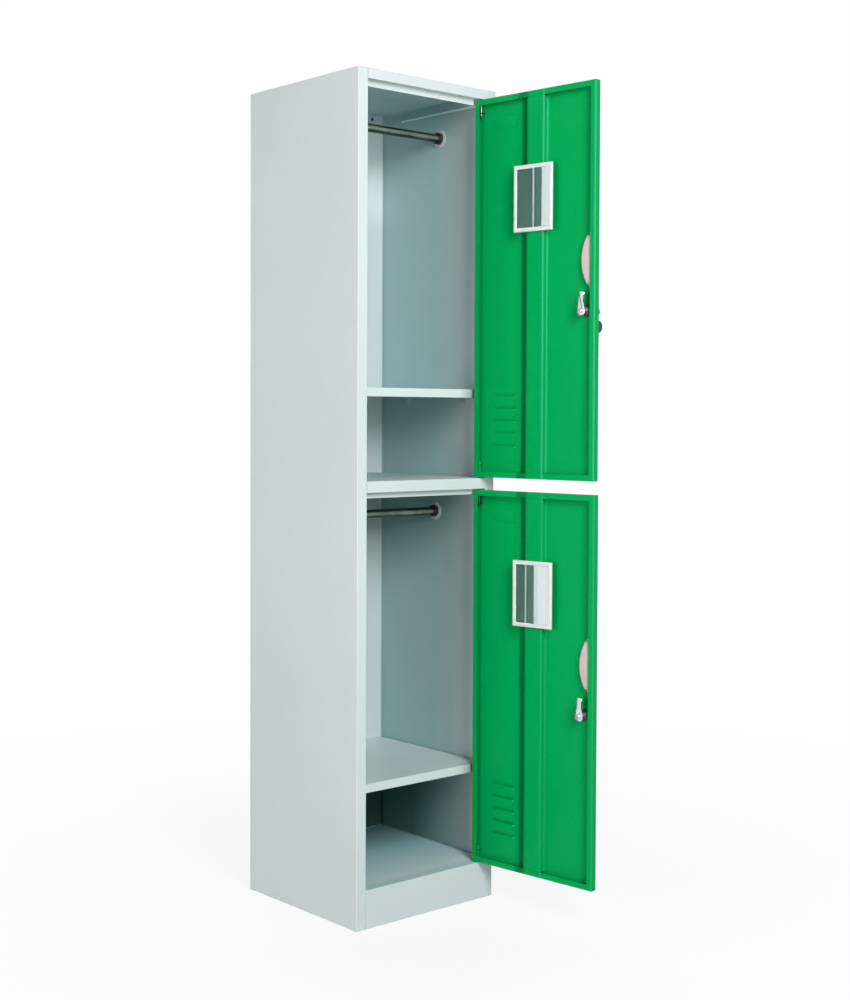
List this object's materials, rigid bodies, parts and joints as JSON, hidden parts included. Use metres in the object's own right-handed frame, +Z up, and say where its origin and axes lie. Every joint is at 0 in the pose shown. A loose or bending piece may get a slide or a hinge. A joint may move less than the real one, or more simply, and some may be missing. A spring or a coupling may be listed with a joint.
{
  "type": "two-tier locker",
  "caption": "Tall narrow steel locker of stacked compartments, each with a shelf, a hanging rod and a pin-hinged door with mirror, finger pull and cam lock.",
  "frame": {"origin": "middle of the kick plate's foot flange, on the floor at the cabinet's front", "axes": "+X towards the hinge side, seen from the front; +Y from the front to the back; +Z up"},
  "size_m": [0.4496, 0.7253, 1.85],
  "materials": {
    "cabinet_grey": "powder coat, light grey, satin",
    "door_green": "powder coat, green, satin",
    "white_plastic": "moulded, white",
    "beige_plastic": "moulded, pinkish beige",
    "black_plastic": "moulded, black",
    "mirror_glass": "silvered glass",
    "steel": "zinc plated",
    "chrome": "polished plating"
  },
  "bodies": {
    "cabinet": {"back_panel": "cabinet_grey", "bottom_panel": "cabinet_grey", "left_side_panel": "cabinet_grey", "right_side_panel": "cabinet_grey", "middle_divider": "cabinet_grey", "top_panel": "cabinet_grey", "top_panel_screw_left": "steel", "top_panel_screw_right": "steel", "upper_shelf": "cabinet_grey", "lower_shelf": "cabinet_grey", "upper_shelf_clip_left_front": "steel", "upper_shelf_clip_left_rear": "steel", "upper_shelf_clip_right_front": "steel", "upper_shelf_clip_right_rear": "steel", "upper_hanging_rod": "steel", "upper_left_rod_socket": "white_plastic", "upper_right_rod_socket": "white_plastic", "lower_shelf_clip_left_front": "steel", "lower_shelf_clip_left_rear": "steel", "lower_shelf_clip_right_front": "steel", "lower_shelf_clip_right_rear": "steel", "lower_hanging_rod": "steel", "lower_left_rod_socket": "white_plastic", "lower_right_rod_socket": "white_plastic"},
    "upper_door": {"upper_door_panel": "door_green", "upper_door_stiffener": "door_green", "upper_door_mirror_frame": "white_plastic", "upper_door_mirror_glass": "mirror_glass", "upper_door_pull": "beige_plastic", "upper_door_lock_body": "chrome", "upper_door_lock_nut": "steel", "upper_door_top_pin": "steel", "upper_door_bottom_pin": "steel", "upper_door_top_pin_bracket": "steel", "upper_door_bottom_pin_bracket": "steel"},
    "lower_door": {"lower_door_panel": "door_green", "lower_door_stiffener": "door_green", "lower_door_mirror_frame": "white_plastic", "lower_door_mirror_glass": "mirror_glass", "lower_door_pull": "beige_plastic", "lower_door_lock_body": "chrome", "lower_door_lock_nut": "steel", "lower_door_top_pin": "steel", "lower_door_bottom_pin": "steel", "lower_door_top_pin_bracket": "steel", "lower_door_bottom_pin_bracket": "steel"},
    "upper_lock": {"upper_door_lock_plug": "steel", "upper_door_lock_cam": "chrome", "upper_door_cam_screw": "steel", "upper_door_key_blade": "steel", "upper_door_key_bow": "black_plastic"},
    "lower_lock": {"lower_door_lock_plug": "steel", "lower_door_lock_cam": "chrome", "lower_door_cam_screw": "steel"},
    "key_ring": {"key_ring": "chrome"},
    "spare_key": {"spare_key_blade": "steel", "spare_key_bow": "black_plastic"}
  },
  "joints": [
    {"name": "upper_door_hinge", "type": "hinge", "parent": "cabinet", "child": "upper_door", "pos_m": [0.1615, -0.001, 1.39837], "axis": [0, 0, 1], "range_deg": [-95.5, 22]},
    {"name": "lower_door_hinge", "type": "hinge", "parent": "cabinet", "child": "lower_door", "pos_m": [0.1615, -0.001, 0.51412], "axis": [0, 0, 1], "range_deg": [-96, 22]},
    {"name": "upper_lock_turn", "type": "hinge", "parent": "upper_door", "child": "upper_lock", "pos_m": [0.19672, -0.299, 1.3369], "axis": [0.9954, 0.0958, 0], "range_deg": [0, 90]},
    {"name": "lower_lock_turn", "type": "hinge", "parent": "lower_door", "child": "lower_lock", "pos_m": [0.19932, -0.29868, 0.46275], "axis": [0.9945, 0.1045, 0], "range_deg": [0, 90]},
    {"name": "key_ring_swing", "type": "hinge", "parent": "upper_lock", "child": "key_ring", "pos_m": [0.23604, -0.29521, 1.3358], "axis": [0.0958, -0.9954, 0], "range_deg": [-20, 60]},
    {"name": "spare_key_swing", "type": "hinge", "parent": "key_ring", "child": "spare_key", "pos_m": [0.23604, -0.29521, 1.3154], "axis": [0.0958, -0.9954, 0], "range_deg": [-10, 40]}
  ]
}
